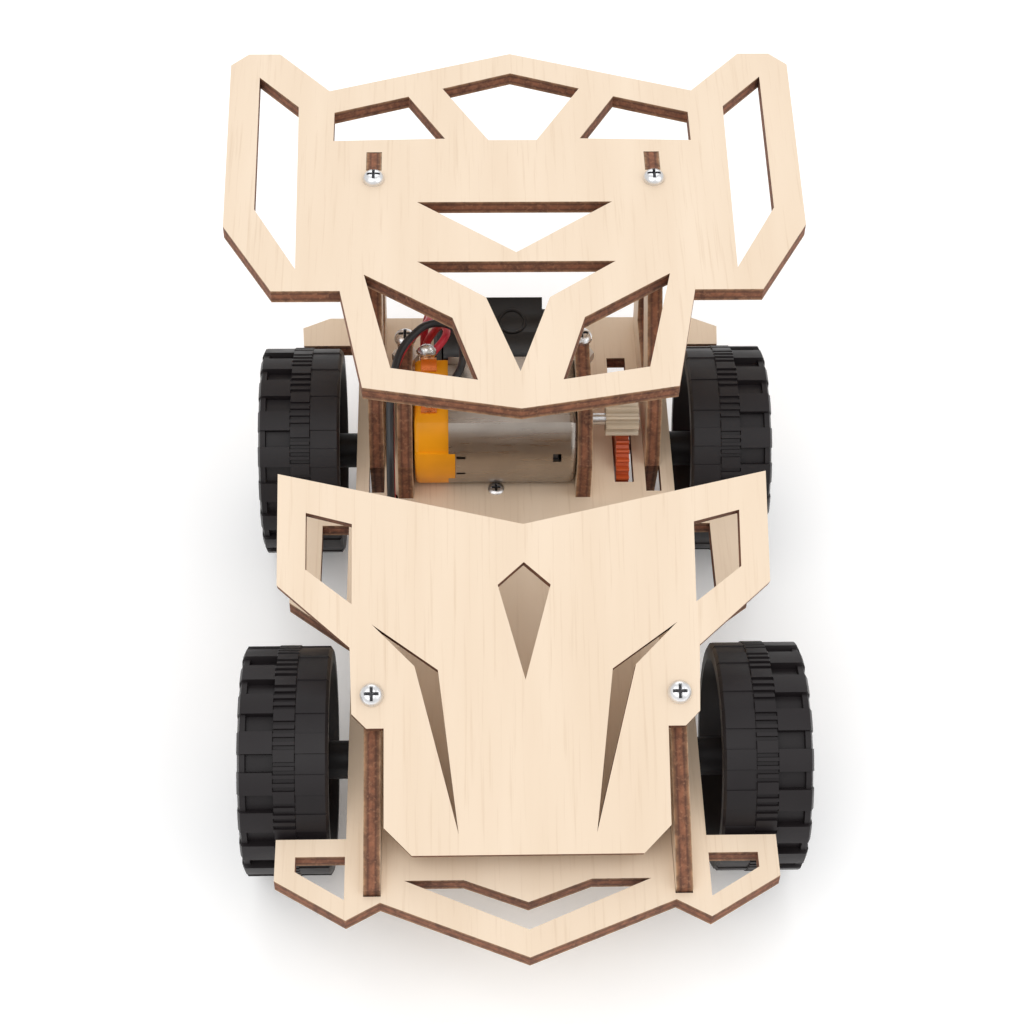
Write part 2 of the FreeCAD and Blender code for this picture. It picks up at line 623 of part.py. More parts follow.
def rocker_switch():
    """Snap-in switch behind the motor: housing, rocker and two terminals below."""
    width, depth, rise = size("bezel_width"), size("bezel_depth"), size("bezel_height")
    x, y = size("switch_x"), size("switch_y")
    bezel = Part.makeBox(width, depth, rise, Vector(-width / 2, -depth / 2, 0))
    upper = [edge for edge in bezel.Edges
             if all(vertex.Z > rise - 0.01 for vertex in edge.Vertexes)]
    bezel = bezel.makeChamfer(0.6, upper)
    shell_width, shell_depth, shell_drop = SWITCH_HOLE_WIDTH - 0.2, SWITCH_HOLE_DEPTH - 0.2, 10.5
    shell = Part.makeBox(shell_width, shell_depth, shell_drop,
                         Vector(-shell_width / 2, -shell_depth / 2, -shell_drop))
    wall = 0.6
    pocket = Part.makeBox(shell_width - 2 * wall, shell_depth - 2 * wall, 7 + rise,
                          Vector(wall - shell_width / 2, wall - shell_depth / 2, -7))
    mouth_depth = shell_depth - 0.4
    mouth = Part.makeBox(shell_width - 2 * wall, mouth_depth, rise,
                         Vector(wall - shell_width / 2, -mouth_depth / 2, 0))
    housing = bezel.fuse(shell).cut(pocket).cut(mouth)
    rocker_width = shell_width - 2 * wall - 0.6
    pin_span = rocker_width + 2 * PIN_LENGTH
    pin_holes = Part.makeCylinder(PIN_RADIUS + size("axle_fit"), pin_span + 0.2,
                                  Vector(-pin_span / 2 - 0.1, 0, ROCKER_PIVOT_RISE), Vector(1, 0, 0))
    housing = housing.cut(pin_holes)
    housing.translate(Vector(x, y, base_top))
    solid_feature("switch_housing", housing)

    foot_half, top_half, drop, lift, dip = 4.6, 6.3, 3.0, 5.0, 1.5
    foot_rear, foot_front = Vector(0, foot_half, -drop), Vector(0, -foot_half, -drop)
    top_rear, top_front = Vector(0, top_half, lift), Vector(0, -top_half, lift)
    crest = Vector(0, 0, lift - dip)
    rear_scoop = Vector(0, top_half / 2, lift - dip - 0.05)
    front_scoop = Vector(0, -top_half / 2, lift - dip - 0.05)
    outline = Part.Wire([
        Part.LineSegment(foot_front, foot_rear).toShape(),
        Part.LineSegment(foot_rear, top_rear).toShape(),
        Part.Arc(top_rear, rear_scoop, crest).toShape(),
        Part.Arc(crest, front_scoop, top_front).toShape(),
        Part.LineSegment(top_front, foot_front).toShape(),
    ])
    rocker = Part.Face(outline).extrude(Vector(rocker_width, 0, 0))
    rocker.translate(Vector(-rocker_width / 2, 0, 0))
    pins = Part.makeCylinder(PIN_RADIUS, pin_span, Vector(-pin_span / 2, 0, 0), Vector(1, 0, 0))
    rocker = rocker.fuse(pins).removeSplitter()
    rocker.rotate(Vector(), Vector(1, 0, 0), ROCKER_TILT)
    rocker.translate(Vector(x, y, base_top + ROCKER_PIVOT_RISE))
    solid_feature("switch_rocker", rocker)

    blades = []
    for offset in (-5.5, 5.5):
        blade = Part.makeBox(4.2, 0.6, 5, Vector(x + offset - 2.1, y - 0.3, base_top - 15.5))
        blades.append(blade)
    solid_feature("switch_terminals", Part.makeCompound(blades))


# ------------------------------------------------------------------ battery box
BATTERY_LEAD_Y = 54.3      # both leads leave through the left wall, one over the other
BATTERY_LEAD_Z = (12.3, 17.1)


def battery_box():
    """Open-bottomed holder for two small cells, screwed under the base plate."""
    width, length, height = size("box_width"), size("box_length"), size("box_height")
    start = size("box_start_y")
    box = Part.makeBox(width, length, height, Vector(-width / 2, start, base_bottom - height))
    wall = 1.4
    hollow = Part.makeBox(width - 2 * wall, length - 2 * wall, height - wall,
                          Vector(wall - width / 2, start + wall, base_bottom - height))
    box = box.cut(hollow)
    rib = Part.makeBox(1.0, size("cell_length"), 4.0,
                       Vector(-0.5, start + wall, base_bottom - wall - 4.0))
    box = box.fuse(rib)
    for x, y in BATTERY_SCREWS:
        box = box.cut(Part.makeCylinder(size("screw_radius"), height,
                                        Vector(x, y, base_bottom - height)))
    for z in BATTERY_LEAD_Z:
        box = box.cut(Part.makeCylinder(size("lead_radius") + 0.2, wall * 2,
                                        Vector(-width / 2 - 0.1, BATTERY_LEAD_Y, z), Vector(1, 0, 0)))
    solid_feature("battery_box", box)

    cell_z = base_bottom - wall - 0.3 - size("cell_radius")
    cell_start = start + wall + 2.6
    cells, contacts = [], []
    for side, flip in ((-1, 0), (1, 1)):
        x = side * (size("cell_radius") + 0.6)
        cell = Part.makeCylinder(size("cell_radius"), size("cell_length") - 1.0,
                                 Vector(x, cell_start + flip, cell_z), Vector(0, 1, 0))
        nub_y = cell_start + (0 if flip else size("cell_length") - 1.0)
        cell = cell.fuse(Part.makeCylinder(1.9, 1.0, Vector(x, nub_y, cell_z), Vector(0, 1, 0)))
        cells.append(cell)
        for y in (cell_start - 0.7, cell_start + size("cell_length") + 0.2):
            contacts.append(Part.makeBox(7.0, 0.4, 7.0, Vector(x - 3.5, y, cell_z - 3.5)))
    solid_feature("battery_cells", Part.makeCompound(cells))
    solid_feature("battery_contacts", Part.makeCompound(contacts))


# ------------------------------------------------------------------------ leads
def lead(label, points):
    """An insulated wire along straight runs joined by tangent arcs."""
    corners = [Vector(*point) for point in points]
    edges, radii, cursor = [], [], corners[0]
    for before, corner, after in zip(corners, corners[1:], corners[2:]):
        incoming, outgoing = corner - before, after - corner
        half_turn = incoming.getAngle(outgoing) / 2
        shorter = min(incoming.Length, outgoing.Length)
        reach = 0.45 * shorter
        radii.append(reach / math.tan(half_turn))
        incoming.normalize()
        outgoing.normalize()
        begin, finish = corner - incoming * reach, corner + outgoing * reach
        inward = (outgoing - incoming).normalize()
        centre_gap = radii[-1] / math.cos(half_turn)
        middle = corner + inward * (centre_gap - radii[-1])
        edges.append(Part.LineSegment(cursor, begin).toShape())
        edges.append(Part.Arc(begin, middle, finish).toShape())
        cursor = finish
    edges.append(Part.LineSegment(cursor, corners[-1]).toShape())
    path = Part.Wire(edges)
    radius = size("lead_radius")
    start_direction = corners[1] - corners[0]
    section = Part.Wire(Part.makeCircle(radius, corners[0], start_direction))
    tube = path.makePipeShell([section], True, False)
    expected = math.pi * radius ** 2 * path.Length
    if abs(tube.Volume - expected) > 0.02 * expected:
        raise ValueError(f"{label}: volume {tube.Volume:.1f}, expected {expected:.1f}")
    print(label, "length", round(path.Length, 1), "radii", [round(r, 1) for r in radii])
    return solid_feature(label, tube)


def leads():
    """Battery to motor, battery to switch, and switch to motor."""
    gap = size("lead_radius") + 0.01
    low, high = BATTERY_LEAD_Z
    contact_y = size("box_start_y") + size("cell_length") + 4.6 + gap
    front_hole, second_hole, third_hole, rear_hole = LEAD_HOLES
    terminal_x = size("can_end_x") - size("can_length") - size("cap_length") + 2.4
    cap_top = size("motor_z") + size("can_half_flat")
    front_terminal_y = motor_axis_y + TERMINALS[0][0] + 0.2 + gap
    rear_terminal_y = motor_axis_y + TERMINALS[1][0] + 0.2 + gap
    between_plates_x = front_hole[0]
    switch_x, switch_y = size("switch_x"), size("switch_y")
    blade_z = base_top - 13.5
    lead("lead_battery_to_motor", [
        (6.5, contact_y, low), (1.0, BATTERY_LEAD_Y, low), (-16.5, BATTERY_LEAD_Y, low),
        (*front_hole, low), (*front_hole, 33.0), (between_plates_x, 57.0, 41.6),
        (-19.2, 64.4, 43.9), (-14.8, 69.2, 44.8), (-10.0, 69.2, 44.3), (-8.4, 64.2, 42.6),
        (-9.6, 58.8, 42.6), (terminal_x, front_terminal_y, cap_top + 0.95),
    ])
    lead("lead_battery_to_switch", [
        (-4.5, contact_y, high), (-9.5, BATTERY_LEAD_Y, high), (-16.5, BATTERY_LEAD_Y, high),
        (*second_hole, high), (*second_hole, 30.0), (between_plates_x, 60.0, 41.0),
        (-18.3, 66.4, 43.0), (-14.2, 71.4, 42.8), (-14.4, 77.4, 39.5), (*rear_hole, 33.0),
        (*rear_hole, base_bottom - 2.0),
        (-14.6, 81.6, blade_z), (switch_x - 7.75, switch_y, blade_z),
    ])
    lead("lead_switch_to_motor", [
        (switch_x + 5.5, switch_y - 0.3 - gap, blade_z), (-4.0, 79.6, blade_z), (-12.6, 74.8, 11.3),
        (*third_hole, 16.5), (*third_hole, 33.5), (-12.4, 73.4, 40.6), (-11.0, 69.0, 42.4),
        (terminal_x, rear_terminal_y, cap_top + 1.35),
    ])


# --------------------------------------------------------------------- assembly
base_plate()
hood_plate()
spoiler_plate()
for name, sign in (("left", -1), ("right", 1)):
    front_side_plate(f"front_side_plate_{name}", sign)
    rear_side_plate(f"rear_side_plate_{name}", sign)
    wheel(f"front_wheel_{name}", sign, rear=False)
    wheel(f"rear_wheel_{name}", sign, rear=True)
motor_plate("motor_plate_left", "left_motor_plate_x", "sizes.cap_boss_hole")
motor_plate("motor_plate_right", "right_motor_plate_x", "sizes.can_boss_hole")
axle("front_axle", rear=False)
axle("rear_axle", rear=True)
gears()
motor()
rocker_switch()
battery_box()
leads()

hood_turn = Rotation(Vector(1, 0, 0), size("hood_slope"))
hood_face = Vector(0, HOOD_SCREW * hood_along[0], size("hood_height") + HOOD_SCREW * hood_along[1])
across_front = Vector(size("front_plate_x"), 0, 0)
across_rear = Vector(size("rear_plate_x"), 0, 0)
spoiler_face = Vector(0, SPOILER_SCREW_Y, size("spoiler_top"))
fasten("hood_screws", "hood_nuts", [hood_face - across_front, hood_face + across_front], ply, hood_turn)
fasten("spoiler_screws", "spoiler_nuts", [spoiler_face - across_rear, spoiler_face + across_rear], ply)
motor_spots = [Vector(size(name), MOTOR_SCREW_Y, MOTOR_PLATE_TOP)
               for name in ("left_motor_plate_x", "right_motor_plate_x")]
fasten("motor_plate_screws", "motor_plate_nuts", motor_spots, 0)
box_spots = [Vector(x, y, base_top) for x, y in BATTERY_SCREWS]
box_screw = pan_screw(3.9, size("box_head_radius"), size("box_head_height"))
solid_feature("battery_box_screws", Part.makeCompound([placed(box_screw, spot) for spot in box_spots]))

# ---------------------------------------------------------------- check and save
doc.recompute()
for thing in doc.Objects:
    if "Invalid" in thing.State or "Error" in thing.State:
        raise RuntimeError(f"{thing.Label}: {thing.State}")
for node in nodes:
    if node.Shape.isNull() or not node.Shape.isValid():
        raise RuntimeError(f"{node.Label}: bad shape")
os.makedirs("parts", exist_ok=True)
for node in nodes:
    node.Shape.exportStep(f"parts/{node.Label}.step")
print(len(nodes), "sub-parts written")
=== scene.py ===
# The looks of the wooden racing-car chassis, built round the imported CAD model.
# Everything is in metres, in the CAD's own frame.
import json
import math
import random

import bpy
from mathutils import Matrix, Vector


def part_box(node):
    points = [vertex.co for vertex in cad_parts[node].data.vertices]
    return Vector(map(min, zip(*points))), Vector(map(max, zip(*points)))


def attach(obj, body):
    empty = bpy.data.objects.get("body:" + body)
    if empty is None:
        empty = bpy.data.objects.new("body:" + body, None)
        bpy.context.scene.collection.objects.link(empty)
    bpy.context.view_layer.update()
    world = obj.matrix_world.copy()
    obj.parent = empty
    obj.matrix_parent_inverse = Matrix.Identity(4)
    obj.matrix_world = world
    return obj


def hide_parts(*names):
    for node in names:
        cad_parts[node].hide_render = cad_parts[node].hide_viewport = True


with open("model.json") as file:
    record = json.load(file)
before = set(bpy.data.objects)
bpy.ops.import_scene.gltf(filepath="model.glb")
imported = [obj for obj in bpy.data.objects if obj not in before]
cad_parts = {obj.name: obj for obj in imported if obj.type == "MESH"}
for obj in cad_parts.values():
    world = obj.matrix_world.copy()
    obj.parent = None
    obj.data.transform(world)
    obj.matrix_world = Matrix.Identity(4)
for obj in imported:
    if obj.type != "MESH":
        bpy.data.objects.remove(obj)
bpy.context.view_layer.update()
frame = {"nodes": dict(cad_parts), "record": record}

MM = 0.001
nodes = frame["nodes"]
materials = {}


# --------------------------------------------------------------- material tools
class Surface:
    """A node material being put together, with its Principled shader."""

    def __init__(self, name, colour=(0.5, 0.5, 0.5), rough=0.5, metal=0.0):
        self.material = bpy.data.materials.new(name)
        self.material.use_nodes = True
        self.tree = self.material.node_tree
        self.shader = self.tree.nodes["Principled BSDF"]
        self.set("Base Color", (*colour, 1.0))
        self.set("Roughness", rough)
        self.set("Metallic", metal)
        coordinates = self.tree.nodes.new("ShaderNodeTexCoord")
        self.place = coordinates.outputs["Object"]
        self.facing = coordinates.outputs["Normal"]
        materials[name] = self.material

    def set(self, socket, value):
        """A plain value, or another node's output, on the shader's own socket."""
        self.feed(self.shader.inputs[socket], value)

    def feed(self, socket, value):
        if isinstance(value, bpy.types.NodeSocket):
            self.tree.links.new(value, socket)
        elif value is not None:
            socket.default_value = value

    def node(self, kind, inputs=(), **settings):
        made = self.tree.nodes.new(kind)
        for name, value in settings.items():
            setattr(made, name, value)
        for key, value in dict(inputs).items():
            self.feed(made.inputs[key], value)
        return made

    def maths(self, operation, first, second=None, clamp=False):
        made = self.node("ShaderNodeMath", {0: first, 1: second}, operation=operation)
        made.use_clamp = clamp
        return made.outputs[0]

    def dot(self, vector, axis):
        made = self.node("ShaderNodeVectorMath", {0: vector, 1: axis}, operation="DOT_PRODUCT")
        return made.outputs["Value"]

    def stretched(self, scale, source=None, turn=(0, 0, 0)):
        """The surface's own coordinates, scaled for a texture."""
        inputs = {"Vector": source or self.place, "Scale": scale, "Rotation": turn}
        return self.node("ShaderNodeMapping", inputs).outputs[0]

    def noise(self, vector, scale=1.0, detail=3.0, rough=0.55):
        inputs = {"Vector": vector, "Scale": scale, "Detail": detail, "Roughness": rough}
        return self.node("ShaderNodeTexNoise", inputs).outputs["Fac"]

    def ramp(self, value, stops):
        """Colours or greys along a value: stops are (position, colour)."""
        made = self.node("ShaderNodeValToRGB", {"Fac": value})
        elements = made.color_ramp.elements
        while len(elements) < len(stops):
            elements.new(0.5)
        for element, (position, colour) in zip(elements, stops):
            shade = colour if isinstance(colour, tuple) else (colour,) * 3
            element.position = position
            element.color = (*shade, 1.0)
        return made.outputs["Color"]

    def mix(self, share, first, second, blend="MIX"):
        made = self.node("ShaderNodeMix", data_type="RGBA", blend_type=blend)
        self.feed(made.inputs["Factor"], share)
        for key, value in ((6, first), (7, second)):
            self.feed(made.inputs[key], (*value, 1.0) if isinstance(value, tuple) else value)
        return made.outputs[2]

    def bump(self, height, depth, strength=1.0):
        inputs = {"Height": height, "Distance": depth, "Strength": strength}
        self.set("Normal", self.node("ShaderNodeBump", inputs).outputs["Normal"])


def between(surface, value, low, high):
    """0 below low, 1 above high."""
    inputs = {"Value": value, "From Min": low, "From Max": high}
    return surface.node("ShaderNodeMapRange", inputs).outputs["Result"]


# --------------------------------------------------------------------- plywood
PLY = 2.5 * MM


def plywood(name, normal, lower_face, grain):
    """Pale veneer on both faces; a burnt edge that shows the three plies."""
    surface = Surface(name, rough=0.6)
    across = surface.dot(surface.place, normal)
    depth = between(surface, across, lower_face, lower_face + PLY)
    toward = surface.maths("ABSOLUTE", surface.dot(surface.facing, normal))
    on_face = between(surface, toward, 0.6, 0.7)

    lengthwise = surface.dot(surface.place, grain)
    side = Vector(normal).cross(Vector(grain))
    crosswise = surface.dot(surface.place, side)
    stretched = surface.node("ShaderNodeCombineXYZ", {
        0: surface.maths("MULTIPLY", lengthwise, 45.0),
        1: surface.maths("MULTIPLY", crosswise, 1500.0),
        2: across,
    }).outputs[0]
    fibre = surface.noise(stretched, 1.0, 4.0, 0.6)
    broad = surface.node("ShaderNodeCombineXYZ", {
        0: surface.maths("MULTIPLY", lengthwise, 14.0),
        1: surface.maths("MULTIPLY", crosswise, 130.0),
        2: across,
    }).outputs[0]
    figure = surface.noise(broad, 1.0, 3.0, 0.5)
    veneer = surface.ramp(figure, [(0.3, (0.735, 0.585, 0.435)), (0.7, (0.785, 0.640, 0.490))])
    veneer = surface.mix(between(surface, fibre, 0.55, 0.8), veneer, (0.655, 0.500, 0.355))

    layers = surface.ramp(depth, [
        (0.0, (0.44, 0.28, 0.16)), (0.09, (0.30, 0.15, 0.075)), (0.27, (0.12, 0.046, 0.026)),
        (0.38, (0.25, 0.095, 0.048)), (0.62, (0.27, 0.105, 0.052)), (0.73, (0.12, 0.046, 0.026)),
        (0.91, (0.28, 0.14, 0.07)), (1.0, (0.50, 0.33, 0.20)),
    ])
    scorch = surface.noise(surface.stretched((650, 650, 650)), 1.0, 4.0, 0.65)
    edge = surface.mix(between(surface, scorch, 0.40, 0.78), layers, (0.060, 0.024, 0.014))
    flecks = surface.noise(surface.stretched((1900, 1900, 1900)), 1.0, 2.0, 0.5)
    edge = surface.mix(between(surface, flecks, 0.55, 0.85), edge, (0.34, 0.16, 0.085))

    surface.set("Base Color", surface.mix(on_face, edge, veneer))
    surface.set("Roughness", surface.ramp(on_face, [(0.0, 0.82), (1.0, 0.56)]))
    height = surface.mix(on_face, surface.ramp(scorch, [(0, 0.0), (1, 1.0)]),
                         surface.ramp(fibre, [(0, 0.35), (1, 0.65)]))
    surface.bump(height, 0.10 * MM, 0.5)
    return surface.material


record = frame["record"]
UP, ACROSS = (0, 0, 1), (1, 0, 0)
HOOD_SLOPE = math.radians(26.0)
hood_normal = (0, -math.sin(HOOD_SLOPE), math.cos(HOOD_SLOPE))
hood_grain = (0, math.cos(HOOD_SLOPE), math.sin(HOOD_SLOPE))
hood_mesh = nodes["hood_plate"].data
hood_face = min(vertex.co.dot(Vector(hood_normal)) for vertex in hood_mesh.vertices)


def dress(node, material):
    """Give a CAD node its material."""
    slots = nodes[node].material_slots
    if not slots:
        nodes[node].data.materials.append(material)
    for slot in slots:
        slot.material = material


for node in ("base_plate", "spoiler_plate"):
    dress(node, plywood("plywood_" + node, UP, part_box(node)[0].z, (0, 1, 0)))
dress("hood_plate", plywood("plywood_hood_plate", hood_normal, hood_face, hood_grain))
for kind in ("front_side_plate", "rear_side_plate", "motor_plate"):
    for hand in ("left", "right"):
        node = f"{kind}_{hand}"
        dress(node, plywood("plywood_" + node, ACROSS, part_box(node)[0].x, (0, 1, 0)))


# -------------------------------------------------------------- other materials
def moulded(name, colour, rough=0.4, grain_depth=0.02, scale=2500, coat=0.0, shine=0.5):
    """Moulded plastic: slight unevenness of sheen and a fine skin."""
    surface = Surface(name, colour, rough)
    skin = surface.noise(surface.stretched((scale,) * 3), 1.0, 3.0, 0.6)
    cloud = surface.noise(surface.stretched((160, 160, 160)), 1.0, 2.0, 0.5)
    darker = tuple(part * 0.82 for part in colour)
    surface.set("Base Color", surface.mix(between(surface, cloud, 0.3, 0.7), darker, colour))
    surface.set("Roughness", surface.ramp(cloud, [(0.3, rough - 0.06), (0.7, rough + 0.08)]))
    surface.set("Coat Weight", coat)
    surface.set("Specular IOR Level", shine)
    surface.bump(skin, grain_depth * MM, 0.6)
    return surface.material


def metal(name, colour, rough, streaks, depth=0.01, tarnish=0.8):
    """Drawn or plated metal with fine marks along one direction."""
    surface = Surface(name, colour, rough, 1.0)
    marks = surface.noise(surface.stretched(streaks), 1.0, 4.0, 0.6)
    cloud = surface.noise(surface.stretched((220, 220, 220)), 1.0, 3.0, 0.6)
    dull = tuple(part * tarnish for part in colour)
    surface.set("Base Color", surface.mix(between(surface, cloud, 0.35, 0.75), colour, dull))
    surface.set("Roughness", surface.ramp(marks, [(0.2, max(rough - 0.1, 0.05)), (0.8, rough + 0.12)]))
    surface.bump(marks, depth * MM, 0.5)
    return surface.material


black_wheel = moulded("black_wheel", (0.014, 0.011, 0.012), 0.44, 0.025, 1800, shine=0.28)
black_switch = moulded("black_switch", (0.016, 0.014, 0.014), 0.36, 0.012, 2600, shine=0.32)
black_box = moulded("black_box", (0.028, 0.028, 0.030), 0.5, 0.03, 1500)
yellow_cap = moulded("yellow_cap", (0.92, 0.36, 0.004), 0.34, 0.012, 1600, shine=0.35)
orange_gear = moulded("orange_gear", (0.60, 0.105, 0.028), 0.38, 0.012, 1800)
cream_pinion = moulded("cream_pinion", (0.60, 0.50, 0.38), 0.36, 0.012, 1800)
cell_green = moulded("cell_sleeve", (0.05, 0.16, 0.07), 0.28, 0.006, 900, coat=0.5)
red_lead = moulded("red_insulation", (0.60, 0.022, 0.045), 0.34, 0.01, 2200)
black_lead = moulded("black_insulation", (0.018, 0.018, 0.021), 0.36, 0.01, 2200)
can_steel = metal("can_steel", (0.39, 0.345, 0.305), 0.30, (120, 2600, 2600), 0.008, 0.86)
rod_steel = metal("rod_steel", (0.62, 0.62, 0.63), 0.24, (120, 3000, 3000), 0.006)
screw_plate = metal("screw_plating", (0.84, 0.84, 0.85), 0.30, (900, 900, 900), 0.008)
copper = metal("copper_strip", (0.83, 0.42, 0.22), 0.30, (900, 900, 900), 0.01)
solder = metal("solder", (0.78, 0.78, 0.77), 0.26, (1400, 1400, 1400), 0.05)
winding = metal("winding", (0.50, 0.20, 0.09), 0.35, (300, 3500, 3500), 0.06)
ferrite = moulded("ferrite", (0.06, 0.06, 0.065), 0.55, 0.03, 1400)

PLAIN = {
    black_switch: ["switch_housing"],
    black_box: ["battery_box"],
    yellow_cap: ["motor_end_cap"],
    orange_gear: ["axle_gear"],
    cream_pinion: ["motor_pinion"],
    cell_green: ["battery_cells"],
    red_lead: ["lead_battery_to_switch", "lead_switch_to_motor"],
    black_lead: ["lead_battery_to_motor"],
    can_steel: ["motor_can"],
    rod_steel: ["front_axle", "rear_axle", "motor_shaft"],
    screw_plate: ["hood_screws", "spoiler_screws", "motor_plate_screws", "battery_box_screws",
                  "hood_nuts", "spoiler_nuts", "motor_plate_nuts", "battery_contacts"],
    copper: ["motor_terminals", "switch_terminals"],
    winding: ["motor_rotor"],
    ferrite: ["motor_magnets"],
    black_wheel: ["front_wheel_left", "front_wheel_right", "rear_wheel_left", "rear_wheel_right"],
}
for material, names in PLAIN.items():
    for node in names:
        dress(node, material)
dress("switch_rocker", black_switch)


# ------------------------------------------------------------------ mesh tools
def piece(name, vertices, faces, material, body, smooth=30.0):
    mesh = bpy.data.meshes.new(name)
    mesh.from_pydata([tuple(v) for v in vertices], [], faces)
    mesh.validate()
    made = bpy.data.objects.new(name, mesh)
    bpy.context.scene.collection.objects.link(made)
    mesh.materials.append(material)
    if smooth:
        for polygon in mesh.polygons:
            polygon.use_smooth = True
        mesh.set_sharp_from_angle(angle=math.radians(smooth))
    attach(made, body)
    return made


# ---------------------------------------------------------------------- wheels
WHEEL_RADIUS = 18.0
WHEEL_INNER_X, WHEEL_OUTER_X = 29.6, 43.3     # rims, from the middle of the car
HUB_END_X = 27.2
HUB_RADIUS, BORE_RADIUS = 3.0, 1.0
TREAD_BLOCKS = 18
SPOKES = 6
GROOVE = 0.006                                # share of a block that each step's wall takes


def tread_height(share, turn):
    """How far the tread stands below the wheel's outer radius, in millimetres.

    share runs from the inner rim (0) to the outer shoulder (1), and turn is the
    angle within one block, from 0 to 1.
    """
    if share < 0.36:                       # inner band: broad flat pads
        return 0.14 if turn < 0.5 else 0.34
    if share < 0.60:                       # centre band: fine ribs in groups
        rib = (turn * 5) % 1 < 0.5
        return 0.0 if rib or turn > 0.8 else 0.42
    if turn < 0.56:                        # shoulder block
        return 0.12
    if share > 0.90:                       # low bar that closes the pocket
        return 0.60
    return 1.30                            # pocket between two blocks


def wheel_mesh(name, side, body, node, centre):
    """One wheel: tread, dished outer face with ribs, hollow inner side and hub."""
    inner, outer = WHEEL_INNER_X, WHEEL_OUTER_X
    width = outer - inner
    steps = sorted([tenth / 10 for tenth in range(10)] + [0.56])
    angles = []
    for block in range(TREAD_BLOCKS):
        for step, following in zip(steps, steps[1:] + [1.0]):
            angles.append((block + step + GROOVE, step + 0.008))
            angles.append((block + following - GROOVE, following - 0.008))
    stations = [0.03, 0.355, 0.365, 0.595, 0.605, 0.895, 0.905, 0.965]
    rings = []
    for share in stations:
        ring = []
        for place, turn in angles:
            drop = tread_height(share, turn)
            ring.append((inner + share * width, WHEEL_RADIUS - drop, place))
        rings.append(ring)

    def round_ring(x, radius, wave=0.0):
        ring = []
        for place, turn in angles:
            drop = wave * tread_height(0.8, turn)
            ring.append((x, radius - drop, place))
        return ring

    first = [round_ring(inner + 8.9, HUB_RADIUS), round_ring(inner + 8.9, WHEEL_RADIUS - 4.6),
             round_ring(inner + 1.0, WHEEL_RADIUS - 3.4), round_ring(inner, WHEEL_RADIUS - 2.7),
             round_ring(inner, WHEEL_RADIUS - 0.8)]
    last = [round_ring(outer - 0.05, WHEEL_RADIUS - 0.9, 0.8), round_ring(outer, WHEEL_RADIUS - 2.6),
            round_ring(outer - 0.1, WHEEL_RADIUS - 3.0),
            round_ring(outer - 1.6, WHEEL_RADIUS - 3.6), round_ring(outer - 2.1, WHEEL_RADIUS - 4.8),
            round_ring(outer - 2.2, 4.9), round_ring(outer - 0.8, 4.0), round_ring(outer - 0.5, 3.5),
            round_ring(outer - 0.5, 1.5), round_ring(outer - 1.5, BORE_RADIUS)]
    boss = [round_ring(outer - 1.5, BORE_RADIUS), round_ring(HUB_END_X, BORE_RADIUS),
            round_ring(HUB_END_X, HUB_RADIUS)]
    everything = boss + first + rings + last
    count = len(angles)
    vertices, faces = [], []
    for ring in everything:
        for x, radius, place in ring:
            angle = 2 * math.pi * place / TREAD_BLOCKS
            vertices.append(Vector((side * x, radius * math.cos(angle) * side,
                                    radius * math.sin(angle))) * MM + centre)
    for row in range(len(everything) - 1):
        for column in range(count):
            following = (column + 1) % count
            a, b = row * count + column, row * count + following
            faces.append((a, b, b + count, a + count))
    made = piece(name, vertices, faces, black_wheel, body)
    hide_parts(node)
    ribs_vertices, ribs_faces = [], []
    for spoke in range(SPOKES):
        angle = 2 * math.pi * spoke / SPOKES
        along = Vector((0, math.cos(angle) * side, math.sin(angle)))
        beside = Vector((0, -math.sin(angle) * side, math.cos(angle)))
        start = len(ribs_vertices)
        for reach, half, x in ((4.6, 1.5, outer - 2.3), (13.3, 1.0, outer - 2.3),
                               (13.3, 0.7, outer - 1.5), (4.6, 1.2, outer - 1.0)):
            for sign in (-1, 1):
                point = Vector((side * x, 0, 0)) + along * reach + beside * half * sign
                ribs_vertices.append(point * MM + centre)
        loops = ((0, 1, 3, 2), (2, 3, 5, 4), (4, 5, 7, 6), (6, 7, 1, 0), (0, 2, 4, 6), (1, 7, 5, 3))
        ribs_faces += [tuple(start + k for k in loop) for loop in loops]
    piece(name + "_spokes", ribs_vertices, ribs_faces, black_wheel, body)


for end in ("front", "rear"):
    for hand, side in (("left", -1), ("right", 1)):
        node = f"{end}_wheel_{hand}"
        low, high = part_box(node)
        centre = Vector((0, (low.y + high.y) / 2, (low.z + high.z) / 2))
        wheel_mesh(f"{end}_{hand}_ribbed_wheel", side, end + "_axle_set", node, centre)


# ------------------------------------------------------------------ small pieces
def blob(name, centre, radii, material, body, seed):
    """A small rounded, slightly uneven drop, such as solder on a terminal."""
    dice = random.Random(seed)
    rows, columns = 8, 14
    wobble = [dice.uniform(0.9, 1.1) for _ in range(columns)]
    vertices = [Vector(centre) + Vector((0, 0, radii[2] * MM))]
    for row in range(1, rows):
        polar = math.pi * row / rows
        for column in range(columns):
            around = 2 * math.pi * column / columns
            spread = math.sin(polar) * wobble[column]
            vertices.append(Vector(centre) + Vector((
                radii[0] * spread * math.cos(around), radii[1] * spread * math.sin(around),
                radii[2] * math.cos(polar))) * MM)
    vertices.append(Vector(centre) - Vector((0, 0, radii[2] * MM)))
    faces = [(0, 1 + c, 1 + (c + 1) % columns) for c in range(columns)]
    for row in range(rows - 2):
        for c in range(columns):
            a, b = 1 + row * columns + c, 1 + row * columns + (c + 1) % columns
            faces.append((a, a + columns, b + columns, b))
    last = 1 + (rows - 2) * columns
    faces += [(last + (c + 1) % columns, last + c, len(vertices) - 1) for c in range(columns)]
    return piece(name, vertices, faces, material, body, smooth=80)


